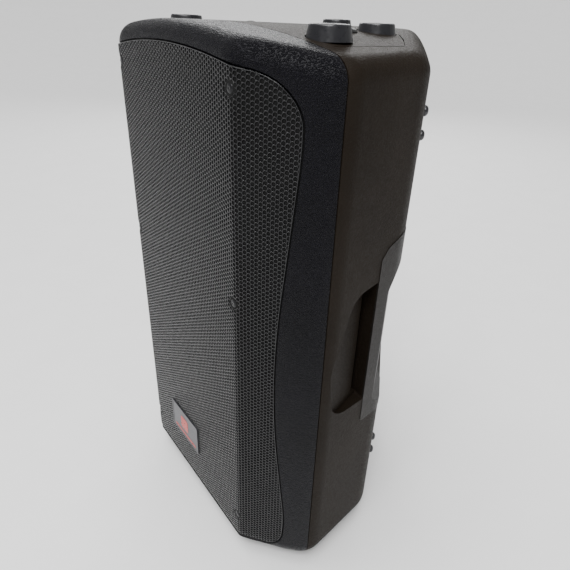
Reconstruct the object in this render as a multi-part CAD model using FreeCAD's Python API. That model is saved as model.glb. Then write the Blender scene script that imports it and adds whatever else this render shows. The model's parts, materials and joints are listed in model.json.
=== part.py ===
import FreeCAD, Part
import math
import os

from FreeCAD import Vector

os.makedirs("parts", exist_ok=True)

# A two-way moulded loudspeaker cabinet. Millimetres, +Z up, the grille faces -Y, and the origin is
# the middle of the footprint at the height of the feet. "Depth" is a distance behind the front face.

# ---- driving dimensions -------------------------------------------------------------------------
DEPTH = 372.0               # front face to rear face of the shells
BADGE_PROUD = 1.5           # the badge stands this far in front of the front face
FRONT = (BADGE_PROUD - DEPTH) / 2.0
BASE_Z = 12.0               # underside of the shells at the front
TOP_Z = 726.0               # crown of the top at the seam
CROWN_R = 1080.0            # side-to-side crown of the top
TOP_FALL = 0.018            # drop of the top per millimetre towards the rear
BASE_RISE = 0.028           # rise of the underside per millimetre towards the rear
SEAM_DEPTH = 70.0           # where the two shells meet
WALL = 5.0
TOP_ROUND = 24.0
BASE_ROUND = 32.0

BEND_X = 140.5              # where the front bends back
CORNER_X = 206.0            # rear corners of the side walls
CORNER_DEPTH = 197.0
WING_X = 196.0
WING_DEPTH = 42.5
WING_ANGLE = math.atan2(WING_DEPTH, WING_X - BEND_X)
SEAM_X = 224.6
REAR_RIGHT_X = 40.0         # ends of the rear face
REAR_LEFT_X = -140.0

# corners of the plan, counter-clockwise from the front left bend: x, depth, rounding
PLAN = (
    (-BEND_X, 0.0, 60.0),
    (BEND_X, 0.0, 60.0),
    (WING_X, WING_DEPTH, 200.0),
    (SEAM_X, SEAM_DEPTH, 38.0),
    (CORNER_X, CORNER_DEPTH, 50.0),
    (REAR_RIGHT_X, DEPTH, 40.0),
    (REAR_LEFT_X, DEPTH, 40.0),
    (-CORNER_X, CORNER_DEPTH, 60.0),
    (-SEAM_X, SEAM_DEPTH, 38.0),
    (-WING_X, WING_DEPTH, 200.0),
)

UP = Vector(0, 0, 1)
BACK = Vector(0, 1, 0)
RIGHT = Vector(1, 0, 0)

# grille
GRILLE_FACE = 0.5           # the sheet is sunk this far behind the front face
GRILLE_T = 1.2
GRILLE_BEND = 15.0          # inside radius of the two bends
GRILLE_GAP = 1.8            # shadow gap round the sheet
# outline seen from the front, counter-clockwise from the lower right corner to the top: x, z, rounding
# (a negative rounding is hollow, for the waist)
GRILLE_HALF = (
    (191.0, 31.0, 36.0), (194.5, 100.0, 400.0), (173.5, 340.0, -1500.0), (195.0, 620.0, 550.0),
    (195.0, 683.7, 50.0),
)
GRILLE_PEAK = (0.0, 718.0, 849.0)
GRILLE_SCREWS = [(x, z) for z in (674.0, 444.0, 79.0) for x in (-134.7, 134.7)]
LEDGE_DEPTH = 4.6           # floor of the recess that the sheet sits in
LEDGE_BEND = GRILLE_BEND - LEDGE_DEPTH + GRILLE_FACE + GRILLE_T
LEDGE_WIDE = 10.0
RIM_WIDE = 12.0
RIM_DEEP = 9.0
POST_R = 7.0

# badge
BADGE_FACE = 1.1            # plate face in front of the front face; its rim reaches BADGE_PROUD
BADGE_X, BADGE_Z = -24.5, 128.5
BADGE_W, BADGE_H = 89.0, 55.0
EMBLEM_X, EMBLEM_Z, EMBLEM_W = -26.0, 130.0, 24.0

# seam, creases, baffle
SEAM_GROOVE = 1.2
SEAM_GROOVE_DEEP = 1.5
CREASE_WIDE = 1.2
CREASE_DEEP = 1.0
CREASES = (
    ((179.0, 87.0), (174.0, 187.0)),
    ((169.0, 192.0), (143.0, 219.0), (107.0, 250.5)),
    ((-179.0, 87.0), (-174.0, 187.0)),
    ((-169.0, 192.0), (-149.0, 246.0), (-126.0, 308.0)),
)
BAFFLE_DEPTH = 56.0
BAFFLE_T = 10.0
SHELL_SCREWS = [(x * side, z) for x, z in ((150.0, 50.0), (165.0, 455.0), (152.0, 676.0))
                for side in (-1, 1)]

# feet: x and depth of each, the same on the top and the underside
FOOT_SPOTS = ((150.0, 105.0), (-150.0, 105.0), (93.0, 227.0), (-84.0, 322.0))
FOOT_H = 15.2
FOOT_R = 23.4
FOOT_TIP_R = 20.4
FOOT_WEB = 5.0              # rubber left under the screw's head
FOOT_SEAT_TOP = 713.4

# domed plugs on the top and small feet on the 45-degree face
PLUG_SPOTS = ((100.0, 177.0), (-100.0, 177.0))
PLUG_R, PLUG_H = 9.75, 4.5
WEDGE_X = (190.0, 62.0)
WEDGE_Z = (647.0, 621.0, 161.0, 134.0)
WEDGE_R, WEDGE_H = 6.0, 5.5
SEAT_SINK = 0.5

# hand pocket in each side: mouth outline (depth, z, rounding), ramp (x, depth), then the hollow
# behind the bar, which the neck joins to the mouth
POCKET_MOUTH = ((154.5, 283.0, 4.0), (154.5, 462.0, 4.0), (112.0, 456.0, 28.0), (80.0, 366.0, 80.0),
                (88.0, 287.0, 34.0))
RAMP = ((236.0, 36.0), (200.0, 142.0), (196.0, 153.0))
HOLLOW_X = (165.0, 190.0)
HOLLOW_DEPTH = (142.0, 186.0)
HOLLOW_Z = (287.0, 458.0)
NECK_X, NECK_DEEP = 201.0, 12.0
HOLLOW_R, HOLLOW_LIP_R = 12.0, 8.0

# flat scoop in the rear corner beside the bar, with a ramp at each end
SCOOP_DEEP = {1: 9.5, -1: 4.5}
SCOOP_NORMAL = {1: Vector(0.783, 0.622, 0).normalize(), -1: Vector(-0.96, 0.28, 0).normalize()}
SCOOP_TOP, SCOOP_FULL_TOP, SCOOP_FULL_LOW, SCOOP_LOW = 472.0, 438.0, 270.0, 252.0
SCOOP_OUT = 20.0
SCOOP_REACH = 160.0

# grip panel over the bar: depth and z of its corners, and their roundings
GRIP = ((154.0, 242.0), (232.0, 242.0), (232.0, 515.0), (192.0, 513.0), (166.0, 503.0), (154.0, 490.0))
GRIP_R = (6.0, 8.0, 8.0, 40.0, 12.0, 10.0)
GRIP_X = 150.0
GRIP_GAP = 0.35
GRIP_PROUD = 0.6
GRIP_SUNK = 2.0

# pole socket in the underside
SOCKET_R = 18.2             # takes a 35 mm pole
SOCKET_WALL = 3.0
SOCKET_DEPTH = 190.0
SOCKET_LONG = 95.0
SOCKET_FLOOR = 4.0
SOCKET_LEAD_R, SOCKET_LEAD = 19.8, 10.0    # tapered lead-in at the mouth
SOCKET_FLANGE_T = 2.5
SOCKET_FLANGE_R = 37.0
SOCKET_BOLT_R = 31.0

# drive units and ports
WOOFER_Z = 226.0
WOOFER_R = 190.0
WOOFER_HOLE_R = 177.2
WOOFER_BOLT_R = 184.5
HORN_Z = 566.0
HORN_FLANGE_X, HORN_FLANGE_Z = 134.0, 94.0
HORN_CUT_X, HORN_CUT_Z = 121.0, 81.0
HORN_WALL = 3.0
HORN_SECTIONS = ((52.0, 116.0, 76.0), (80.0, 96.0, 62.0), (110.0, 66.0, 46.0), (140.0, 38.0, 32.0),
                 (168.0, 17.5, 17.5))     # depth, half width, half height
HORN_BOLTS = [(x, z) for x in (-127.0, 127.0) for z in (-87.0, 87.0)]
PORT_X, PORT_Z = 162.0, 520.0
PORT_R, PORT_WALL, PORT_LONG = 22.5, 2.5, 115.0
PAD_T = 30.0                # wadding, measured from the outside of the wall
PADS = (
    ((192.0, 211.5), (60.0, 350.9), 60.0, 240.0),
    ((15.0, 372.0), (-108.0, 372.0), 60.0, 240.0),
    ((-147.0, 353.4), (-200.0, 212.9), 60.0, 240.0),
)

# rear panel and what it carries
PANEL_X, PANEL_Z = -45.0, 420.0
PANEL_W, PANEL_H = 124.0, 300.0
PANEL_T = 3.0
PANEL_FACE = 358.0
BOARD_DEPTH = 333.0
BOARD_T = 1.6
KNOBS = (("volume_knob", -75.0, 515.0), ("microphone_knob", -15.0, 515.0),
         ("bass_knob", -75.0, 470.0), ("treble_knob", -15.0, 470.0))
KNOB_R, KNOB_H, SHAFT_R = 9.0, 11.0, 3.0
JACKS = ((-75.0, 425.0), (-15.0, 425.0))
LINK = (-75.0, 388.0)
SWITCH = (-15.0, 388.0)
ROCKER = (-80.0, 296.0)
INLET = (-20.0, 296.0)
LAMPS = ((-57.0, 553.0), (-45.0, 553.0), (-33.0, 553.0))
SINK_Z = 342.0
PILLARS = [(PANEL_X + x, z) for x in (-46.0, 46.0) for z in (318.0, 538.0)]
PANEL_SCREWS = [(PANEL_X + side * 58.5, PANEL_Z + z) for side in (-1, 1)
                for z in (-146.5, -50.0, 50.0, 146.5)]


# ---- helpers ------------------------------------------------------------------------------------
def at(x, depth, z):
    """A point from x, the depth behind the front face, and z."""
    return Vector(x, FRONT + depth, z)


def save(name, shape):
    """Writes one node; separate solids stay separate."""
    solids = shape.Solids
    made = solids[0] if len(solids) == 1 else Part.makeCompound(solids)
    if not made.isValid():
        print("not valid:", name)
    made.exportStep("parts/" + name + ".step")
    print(name, len(solids), "solid(s)", round(made.Volume / 1000.0, 2), "cm3")


def fused(shapes):
    result = shapes[0]
    for shape in shapes[1:]:
        result = result.fuse(shape)
    return result.removeSplitter()


def cut_all(shape, tools):
    for tool in tools:
        shape = shape.cut(tool)
    return shape


def rod(radius, length, base, axis=UP):
    return Part.makeCylinder(radius, length, base, axis)


def tube(outer, inner, length, base, axis=UP):
    return rod(outer, length, base, axis).cut(rod(inner, length, base, axis))


def block(x0, x1, depth0, depth1, z0, z1):
    return Part.makeBox(x1 - x0, depth1 - depth0, z1 - z0, at(x0, depth0, z0))


def rounded_loop(points, radii):
    """A closed flat outline with each corner rounded by an arc; a radius of 0 leaves it sharp."""
    count = len(points)
    starts, ends, edges = [], [], []
    for i in range(count):
        here = points[i]
        back = (points[i - 1] - here).normalize()
        ahead = (points[(i + 1) % count] - here).normalize()
        if radii[i] <= 0:
            starts.append(here)
            ends.append(here)
            continue
        half = back.getAngle(ahead) / 2.0
        reach = radii[i] / math.tan(half)
        middle = here + (back + ahead).normalize() * (radii[i] / math.sin(half) - radii[i])
        starts.append(here + back * reach)
        ends.append(here + ahead * reach)
        edges.append(Part.Arc(starts[i], middle, ends[i]).toShape())
    for i in range(count):
        following = starts[(i + 1) % count]
        if ends[i].distanceToPoint(following) > 1e-6:
            edges.append(Part.makeLine(ends[i], following))
    return Part.Wire(Part.__sortEdges__(edges))


def prism(points, radii, direction):
    return Part.Face(rounded_loop(points, radii)).extrude(direction)


def inset(points, amount):
    """Corners of a counter-clockwise 2-D outline with every side moved inwards."""
    moved = []
    for i in range(len(points)):
        before = Vector(points[i - 1][0], points[i - 1][1], 0)
        here = Vector(points[i][0], points[i][1], 0)
        after = Vector(points[(i + 1) % len(points)][0], points[(i + 1) % len(points)][1], 0)
        one = (here - before).normalize()
        two = (after - here).normalize()
        normal_one = Vector(-one.y, one.x, 0)
        normal_two = Vector(-two.y, two.x, 0)
        middle = (normal_one + normal_two).normalize()
        corner = here + middle * (amount / middle.dot(normal_one))
        moved.append((corner.x, corner.y))
    return moved


# ---- the moulded body ---------------------------------------------------------------------------
def body(amount):
    """The whole moulding as one solid, with every face moved inwards by an amount."""
    corners = inset([(x, depth) for x, depth, _ in PLAN], amount)
    radii = [radius - amount for _, _, radius in PLAN]
    upright = prism([at(x, depth, -20) for x, depth in corners], radii, UP * 800)
    crown_r = CROWN_R - amount
    side_z = TOP_Z - CROWN_R + math.sqrt(crown_r ** 2 - 300.0 ** 2)
    start = Vector(0, 1, -TOP_FALL) * -200
    arc = Part.Arc(at(300, SEAM_DEPTH, side_z), at(0, SEAM_DEPTH, TOP_Z - amount),
                   at(-300, SEAM_DEPTH, side_z)).toShape()
    sides = Part.makePolygon([at(-300, SEAM_DEPTH, side_z), at(-300, SEAM_DEPTH, -50),
                              at(300, SEAM_DEPTH, -50), at(300, SEAM_DEPTH, side_z)])
    outline = Part.Wire(Part.__sortEdges__([arc] + sides.Edges))
    outline.translate(start)
    crown = Part.Face(outline).extrude(Vector(0, 1, -TOP_FALL) * 700)
    low = BASE_Z + amount
    reach = 500.0
    above = prism(
        [at(-300, -50, low - 50 * BASE_RISE), at(-300, reach, low + reach * BASE_RISE),
         at(-300, reach, 900), at(-300, -50, 900)],
        (0, 0, 0, 0), RIGHT * 600)
    solid = upright.common(crown).common(above)
    top = [e for e in solid.Edges if all(v.Z > 600 for v in e.Vertexes)]
    solid = solid.makeFillet(TOP_ROUND - amount, top)
    base = [e for e in solid.Edges if all(v.Z < 60 for v in e.Vertexes)]
    return solid.makeFillet(BASE_ROUND - amount, base)


def corner_support(sign, normal):
    """How far the body reaches along a normal at the rear corner of one side."""
    i = 4 if sign > 0 else 7
    x, depth, radius = PLAN[i]
    here = at(x, depth, 0)
    back = (at(PLAN[i - 1][0], PLAN[i - 1][1], 0) - here).normalize()
    ahead = (at(PLAN[i + 1][0], PLAN[i + 1][1], 0) - here).normalize()
    half = back.getAngle(ahead) / 2.0
    hub = here + (back + ahead).normalize() * (radius / math.sin(half))
    return normal.dot(hub) + radius


def scoop(amount, sign):
    """The cutter for the flat scoop in a rear corner beside the grip."""
    normal, depth = SCOOP_NORMAL[sign], SCOOP_DEEP[sign]
    along = Vector(-normal.y, normal.x, 0)
    high = SCOOP_TOP + (SCOOP_TOP - SCOOP_FULL_TOP) / depth * SCOOP_OUT
    low = SCOOP_LOW - (SCOOP_FULL_LOW - SCOOP_LOW) / depth * SCOOP_OUT
    corners = inset([(-depth, SCOOP_FULL_TOP), (-depth, SCOOP_FULL_LOW), (SCOOP_OUT, low), (SCOOP_OUT, high)],
                    -amount)
    origin = normal * corner_support(sign, normal) - along * SCOOP_REACH
    points = [origin + normal * s + UP * z for s, z in corners]
    return prism(points, (0, 0, 0, 0), along * (2 * SCOOP_REACH))


def scooped(amount):
    return cut_all(body(amount), [scoop(amount, 1), scoop(amount, -1)])


def outline_face(grow, depth):
    """The grille's outline as a face at one depth, grown by an amount."""
    left = [(-x, z, radius) for x, z, radius in GRILLE_HALF[::-1]]
    corners = list(GRILLE_HALF) + [GRILLE_PEAK] + left
    grown = inset([(x, z) for x, z, _ in corners], -grow)
    radii = [abs(radius + grow) for _, _, radius in corners]
    return Part.Face(rounded_loop([at(x, depth, z) for x, z in grown], radii))


def behind_front(near, far, bend_radius=0.0):
    """Everything between two depths behind the bent front, measured square to it."""
    slope = math.tan(WING_ANGLE)
    wide = 240.0

    def bent(depth):
        x = BEND_X - depth * math.tan(WING_ANGLE / 2)
        return x, depth, depth + (wide - x) * slope

    near_x, near_depth, near_side = bent(near)
    far_x, far_depth, far_side = bent(far)
    points = [at(-wide, near_side, 0), at(-near_x, near_depth, 0), at(near_x, near_depth, 0),
              at(wide, near_side, 0), at(wide, far_side, 0), at(far_x, far_depth, 0),
              at(-far_x, far_depth, 0), at(-wide, far_side, 0)]
    outer = bend_radius + far - near if bend_radius else 0
    radii = (0, outer, outer, 0, 0, bend_radius, bend_radius, 0)
    return prism(points, radii, UP * 760)


def grille_layer(grow, near, far, bend_radius=0.0):
    """A bent sheet with the grille's outline."""
    column = outline_face(grow, -20).extrude(BACK * 130)
    return behind_front(near, far, bend_radius).common(column)


def screw(base, axis, shank_r, length, head_r, head_h):
    """A pan-head screw whose head sits on a face at base; the axis points into the work."""
    head = rod(head_r, head_h, base - axis * head_h, axis)
    ring = head.Edges[0]
    for edge in head.Edges:
        if edge.Vertexes[0].Point.distanceToPlane(base, axis) < -head_h / 2 and edge.Closed:
            ring = edge
    head = head.makeFillet(head_h * 0.45, [ring])
    slot = rod(head_r * 0.42, head_h * 0.5, base - axis * head_h, axis)
    return head.cut(slot).fuse(rod(shank_r, length, base, axis))


def ring_spots(radius, count, turn=0.0):
    angles = [turn + 2 * math.pi * i / count for i in range(count)]
    return [(radius * math.cos(a), radius * math.sin(a)) for a in angles]


def revolve(profile, base):
    """Turns (radius, distance behind base) points about the front-to-back axis through base."""
    points = [base + RIGHT * r + BACK * h for r, h in profile]
    return Part.Face(Part.makePolygon(points + [points[0]])).revolve(base, BACK, 360)


def rounded_rect(cx, cz, half_x, half_z, radius, depth):
    points = [at(cx - half_x, depth, cz - half_z), at(cx + half_x, depth, cz - half_z),
              at(cx + half_x, depth, cz + half_z), at(cx - half_x, depth, cz + half_z)]
    return rounded_loop(points, [radius] * 4)


def plate(cx, cz, half_x, half_z, radius, depth, thick):
    return Part.Face(rounded_rect(cx, cz, half_x, half_z, radius, depth)).extrude(BACK * thick)


def panel_block(grow, depth0, depth1):
    """A block with the rear panel's outline, grown by an amount."""
    half_w = PANEL_W / 2 + grow
    half_h = PANEL_H / 2 + grow
    return block(PANEL_X - half_w, PANEL_X + half_w, depth0, depth1, PANEL_Z - half_h, PANEL_Z + half_h)


def face45(x):
    """Depth of the long 45-degree face at x."""
    run = (DEPTH - CORNER_DEPTH) / (CORNER_X - REAR_RIGHT_X)
    return CORNER_DEPTH + (CORNER_X - x) * run


# ---- shells -------------------------------------------------------------------------------------
outer = scooped(0.0)
cavity = scooped(WALL)
skin = outer.cut(cavity)
groove_slab = block(-300, 300, SEAM_DEPTH - SEAM_GROOVE / 2, SEAM_DEPTH + SEAM_GROOVE / 2, -10, 760)
groove = groove_slab.cut(body(SEAM_GROOVE_DEEP))

front_half = block(-300, 300, -20, SEAM_DEPTH, -10, 760)
rear_half = block(-300, 300, SEAM_DEPTH, DEPTH + 20, -10, 760)
rear_skin = skin.common(rear_half)

# front shell: skin, frame behind the grille's edge, baffle, grille screw posts
posts = [rod(POST_R, BAFFLE_DEPTH - LEDGE_DEPTH, at(x, LEDGE_DEPTH, z), BACK) for x, z in GRILLE_SCREWS]
room = cavity.common(block(-300, 300, -20, BAFFLE_DEPTH, -10, 760))
room = cut_all(room, [grille_layer(RIM_WIDE, -20, RIM_DEEP)] + posts)
window = cut_all(grille_layer(-LEDGE_WIDE, -20, RIM_DEEP), posts)
pocket = grille_layer(GRILLE_GAP, -20, LEDGE_DEPTH, LEDGE_BEND)
behind = cavity.common(block(-300, 300, BAFFLE_DEPTH + BAFFLE_T, SEAM_DEPTH + 5, -10, 760))
front = cut_all(outer.common(front_half), [pocket, window, room, behind, groove])
woofer_hub = at(0, BAFFLE_DEPTH, WOOFER_Z)
front = front.cut(rod(WOOFER_HOLE_R, 30, at(0, BAFFLE_DEPTH - 5, WOOFER_Z), BACK))
front = front.cut(plate(0, HORN_Z, HORN_CUT_X, HORN_CUT_Z, 12, BAFFLE_DEPTH - 5, 30))
for x in (-PORT_X, PORT_X):
    front = front.cut(rod(PORT_R + PORT_WALL + 0.2, 30, at(x, BAFFLE_DEPTH - 5, PORT_Z), BACK))
for x, z in GRILLE_SCREWS:
    front = front.cut(rod(2.05, 20, at(x, LEDGE_DEPTH, z), BACK))
for x, z in ring_spots(WOOFER_BOLT_R, 8, math.pi / 8):
    front = front.cut(rod(2.55, 30, at(x, BAFFLE_DEPTH - 1, WOOFER_Z + z), BACK))
for x, z in HORN_BOLTS:
    front = front.cut(rod(2.05, 30, at(x, BAFFLE_DEPTH - 1, HORN_Z + z), BACK))
for x, z in SHELL_SCREWS:
    front = front.cut(rod(2.55, 30, at(x, BAFFLE_DEPTH - 1, z), BACK))

# rear shell: skin, hand pockets with their bars, screw posts, panel frame, foot and socket bosses
extra = []
ramp_slope = (RAMP[0][0] - RAMP[1][0]) / (RAMP[1][1] - RAMP[0][1])
for sign in (1, -1):
    front_depth = POCKET_MOUTH[3][0] + WALL
    front_x = RAMP[0][0] - (front_depth - RAMP[0][1]) * ramp_slope
    casing = [(260.0, front_depth), (front_x - WALL, front_depth),
              (RAMP[1][0] - WALL, HOLLOW_DEPTH[0] - WALL), (HOLLOW_X[0] - WALL, HOLLOW_DEPTH[0] - WALL),
              (HOLLOW_X[0] - WALL, HOLLOW_DEPTH[1] + WALL), (260.0, HOLLOW_DEPTH[1] + WALL)]
    walls = prism([at(sign * x, depth, HOLLOW_Z[0] - 2 * WALL) for x, depth in casing], (0,) * 6,
                  UP * (HOLLOW_Z[1] - HOLLOW_Z[0] + 4 * WALL))
    extra.append(walls.common(outer))
for x, z in SHELL_SCREWS:
    # each post is tied to the nearest wall by a web: down, outwards or up
    if z < 100:
        web = block(x - 2.5, x + 2.5, SEAM_DEPTH, SEAM_DEPTH + 25, 0, z)
    elif z > 600:
        web = block(x - 2.5, x + 2.5, SEAM_DEPTH, SEAM_DEPTH + 25, z, 760)
    else:
        web = block(min(x, x * 1.6), max(x, x * 1.6), SEAM_DEPTH, SEAM_DEPTH + 25, z - 2.5, z + 2.5)
    extra.append(rod(7, 25, at(x, SEAM_DEPTH, z), BACK).fuse(web).common(outer))
extra.append(panel_block(WALL, PANEL_FACE - 8, DEPTH + 5).common(outer))
for x, depth in FOOT_SPOTS:
    extra.append(rod(27, 40, at(x, depth, FOOT_SEAT_TOP - 6)).common(outer))
    extra.append(rod(26, 10, at(x, depth, FOOT_H)))
extra.append(rod(SOCKET_FLANGE_R + 5, 10, at(0, SOCKET_DEPTH, BASE_Z + 2)).common(outer))
rear = fused([rear_skin] + extra)

hollows = [groove]
for sign in (1, -1):
    mouth = [at(0, depth, z) for depth, z, _ in POCKET_MOUTH]
    radii = [radius for _, _, radius in POCKET_MOUTH]
    straight = prism(mouth, radii, RIGHT * (sign * 300))
    floor = [(300.0, RAMP[0][1])] + list(RAMP) + [(RAMP[2][0], 200.0), (300.0, 200.0)]
    ramp = prism([at(sign * x, depth, 0) for x, depth in floor], (0,) * 6, UP * 760)
    hollows.append(straight.common(ramp))
    hollow_deep = HOLLOW_DEPTH[1] - HOLLOW_DEPTH[0]
    for x, lip, deep in ((NECK_X, 1.0, NECK_DEEP), (HOLLOW_X[1], HOLLOW_LIP_R, hollow_deep)):
        ends = [at(sign * x, HOLLOW_DEPTH[0], z) for z in HOLLOW_Z]
        ends += [at(sign * HOLLOW_X[0], HOLLOW_DEPTH[0], z) for z in HOLLOW_Z[::-1]]
        hollows.append(prism(ends, (lip, lip, HOLLOW_R, HOLLOW_R), BACK * deep))
hollows.append(panel_block(0.6, PANEL_FACE - PANEL_T, DEPTH + 9))
hollows.append(panel_block(-7.0, PANEL_FACE - 12, DEPTH + 9))
for x, z in PANEL_SCREWS:
    hollows.append(rod(1.55, 15, at(x, PANEL_FACE - 12, z), BACK))
for x, depth in FOOT_SPOTS:
    hollows.append(rod(FOOT_R + 0.6, 40, at(x, depth, FOOT_SEAT_TOP)))
    hollows.append(rod(FOOT_R + 0.6, 40, at(x, depth, FOOT_H - 40)))
    hollows.append(rod(2.05, 14, at(x, depth, FOOT_SEAT_TOP - 13)))
    hollows.append(rod(2.05, 14, at(x, depth, FOOT_H - 1)))
socket_face = BASE_Z + SOCKET_DEPTH * BASE_RISE + 2
hollows.append(rod(SOCKET_FLANGE_R + 0.5, 60, at(0, SOCKET_DEPTH, socket_face - 60)))
hollows.append(rod(SOCKET_R + SOCKET_WALL + 0.3, 60, at(0, SOCKET_DEPTH, 0)))
for x, y in ring_spots(SOCKET_BOLT_R, 4, math.pi / 4):
    hollows.append(rod(1.8, 10, at(x, SOCKET_DEPTH + y, socket_face - 1)))
for x, z in SHELL_SCREWS:
    hollows.append(rod(2.05, 22, at(x, SEAM_DEPTH - 1, z), BACK))

# creases in the top where the crown meets the rounded edges
crease_ring = outer.cut(body(CREASE_DEEP))
for line in CREASES:
    for (x0, depth0), (x1, depth1) in zip(line, line[1:]):
        start, finish = at(x0, depth0, 680), at(x1, depth1, 680)
        across = (finish - start).normalize().cross(UP) * (CREASE_WIDE / 2)
        ends = [start - across, finish - across, finish + across, start + across]
        hollows.append(prism(ends, (0, 0, 0, 0), UP * 80).common(crease_ring))

# plugs and small feet pressed into the skin
plug_seats = []
for x, depth in PLUG_SPOTS:
    normal = Vector(x / CROWN_R, TOP_FALL, 1).normalize()
    surface = at(x, depth, TOP_Z - TOP_FALL * (depth - SEAM_DEPTH) - x * x / (2 * CROWN_R))
    plug_seats.append((surface, normal, PLUG_R, PLUG_H))
normal45 = Vector(DEPTH - CORNER_DEPTH, CORNER_X - REAR_RIGHT_X, 0).normalize()
wedge_seats = []
for x in WEDGE_X:
    for z in WEDGE_Z:
        wedge_seats.append((at(x, face45(x), z), normal45, WEDGE_R, WEDGE_H))
for surface, normal, radius, height in plug_seats + wedge_seats:
    hollows.append(rod(radius + 0.3, 20, surface - normal * SEAT_SINK, normal))
    hollows.append(rod(radius * 0.5, 30, surface - normal * 4.0, normal))

# grips over the bars
for sign, name in ((1, "handle_grip_right"), (-1, "handle_grip_left")):
    points = [at(sign * GRIP_X, depth, z) for depth, z in GRIP]
    region = prism(points, GRIP_R, RIGHT * (sign * 100))
    loose = prism([at(sign * GRIP_X, depth, z) for depth, z in inset(GRIP, -GRIP_GAP)],
                  [radius + GRIP_GAP for radius in GRIP_R], RIGHT * (sign * 100))
    hollows.append(loose.cut(scooped(GRIP_SUNK)).common(outer))
    save(name, scooped(-GRIP_PROUD).cut(scooped(GRIP_SUNK)).common(region))
rear = cut_all(rear, hollows)
save("front_shell", front)
save("rear_shell", rear)


# ---- grille, badge ------------------------------------------------------------------------------
grille = grille_layer(0, GRILLE_FACE, GRILLE_FACE + GRILLE_T, GRILLE_BEND)
foam = grille_layer(-1.5, GRILLE_FACE + GRILLE_T, LEDGE_DEPTH, LEDGE_BEND)
screws = []
for x, z in GRILLE_SCREWS:
    grille = grille.cut(rod(2.3, 20, at(x, -10, z), BACK))
    foam = foam.cut(rod(2.6, 20, at(x, -10, z), BACK))
    screws.append(screw(at(x, GRILLE_FACE, z), BACK, 2.0, 16, 4.6, 1.9))
save("grille", grille)
save("grille_foam", foam)
save("grille_screws", Part.makeCompound(screws))

badge = plate(BADGE_X, BADGE_Z, BADGE_W / 2, BADGE_H / 2, 3, -BADGE_FACE, BADGE_FACE + GRILLE_FACE)
rim_high = BADGE_PROUD - BADGE_FACE
frame_outer = plate(BADGE_X, BADGE_Z, BADGE_W / 2, BADGE_H / 2, 3, -BADGE_PROUD, rim_high)
frame_inner = plate(BADGE_X, BADGE_Z, BADGE_W / 2 - 2.2, BADGE_H / 2 - 2.2, 1.5, -BADGE_PROUD, 1)
save("badge_plate", fused([badge, frame_outer.cut(frame_inner)]))
raised = rim_high - 0.1
emblem = plate(EMBLEM_X, EMBLEM_Z, EMBLEM_W / 2, EMBLEM_W / 2, 4, -BADGE_FACE - raised, raised)
bar_z = BADGE_Z - BADGE_H / 2 + 8
bar = plate(BADGE_X, bar_z, BADGE_W / 2 - 9, 1.6, 1.2, -BADGE_FACE - raised, raised)
save("badge_emblem", Part.makeCompound([emblem, bar]))


# ---- feet, plugs, sockets -----------------------------------------------------------------------
def foot(base, axis):
    """A round rubber foot with a sunk hole for its screw; the axis points to the tip."""
    cone = Part.makeCone(FOOT_R, FOOT_TIP_R, FOOT_H, base, axis)
    tip = [e for e in cone.Edges if e.Closed and (e.Vertexes[0].Point - base).dot(axis) > FOOT_H / 2]
    cone = cone.makeFillet(2.5, tip)
    cone = cone.cut(rod(5.2, FOOT_H, base + axis * FOOT_WEB, axis))
    return cone.cut(rod(2.3, FOOT_H, base, axis))


DOWN = Vector(0, 0, -1)
tops, bases, foot_screws = [], [], []
for x, depth in FOOT_SPOTS:
    tops.append(foot(at(x, depth, FOOT_SEAT_TOP), UP))
    bases.append(foot(at(x, depth, FOOT_H), DOWN))
    for z, axis in ((FOOT_SEAT_TOP + FOOT_WEB, DOWN), (FOOT_H - FOOT_WEB, UP)):
        foot_screws.append(screw(at(x, depth, z), axis, 2.0, FOOT_WEB + 10, 4.2, 2.2))
save("top_feet", Part.makeCompound(tops))
save("base_feet", Part.makeCompound(bases))
save("foot_screws", Part.makeCompound(foot_screws))


def button(surface, normal, radius, height):
    """A domed button with a stem, seated in a shallow flat."""
    base = surface - normal * SEAT_SINK
    side = normal.cross(UP).normalize() if abs(normal.z) < 0.9 else normal.cross(BACK).normalize()
    stem_r = radius * 0.5 - 0.05
    stem_h = 4.0 - SEAT_SINK
    shoulder = base + side * radius + normal * (height * 0.4)
    crown = base + side * (radius * 0.72) + normal * (height * 0.83)
    tip = base + normal * height
    flat = tip + side * 0.8
    foot_end = base - normal * stem_h
    corners = [flat, tip, foot_end, foot_end + side * stem_r, base + side * stem_r, base + side * radius,
               shoulder]
    edges = [Part.makeLine(p, q) for p, q in zip(corners, corners[1:])]
    edges.append(Part.Arc(shoulder, crown, flat).toShape())
    return Part.Face(Part.Wire(Part.__sortEdges__(edges))).revolve(base, normal, 360)


save("rigging_plugs", Part.makeCompound([button(*seat) for seat in plug_seats]))
save("wedge_feet", Part.makeCompound([button(*seat) for seat in wedge_seats]))

mouth_z = socket_face - SOCKET_FLANGE_T
flange = rod(SOCKET_FLANGE_R, SOCKET_FLANGE_T, at(0, SOCKET_DEPTH, mouth_z))
cup = rod(SOCKET_R + SOCKET_WALL, SOCKET_LONG, at(0, SOCKET_DEPTH, mouth_z))
socket = flange.fuse(cup).cut(rod(SOCKET_R, SOCKET_LONG - SOCKET_FLOOR, at(0, SOCKET_DEPTH, mouth_z)))
socket = socket.cut(Part.makeCone(SOCKET_LEAD_R, SOCKET_R, SOCKET_LEAD, at(0, SOCKET_DEPTH, mouth_z)))
socket_screws = []
for x, y in ring_spots(SOCKET_BOLT_R, 4, math.pi / 4):
    socket = socket.cut(rod(1.9, 10, at(x, SOCKET_DEPTH + y, mouth_z - 2.5)))
    socket_screws.append(screw(at(x, SOCKET_DEPTH + y, mouth_z), UP, 1.75, 9, 3.6, 1.6))
save("pole_socket", socket.removeSplitter())
save("pole_socket_screws", Part.makeCompound(socket_screws))
save("shell_screws", Part.makeCompound(
    [screw(at(x, BAFFLE_DEPTH, z), BACK, 2.0, 33, 4.5, 2.4) for x, z in SHELL_SCREWS]))


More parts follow.
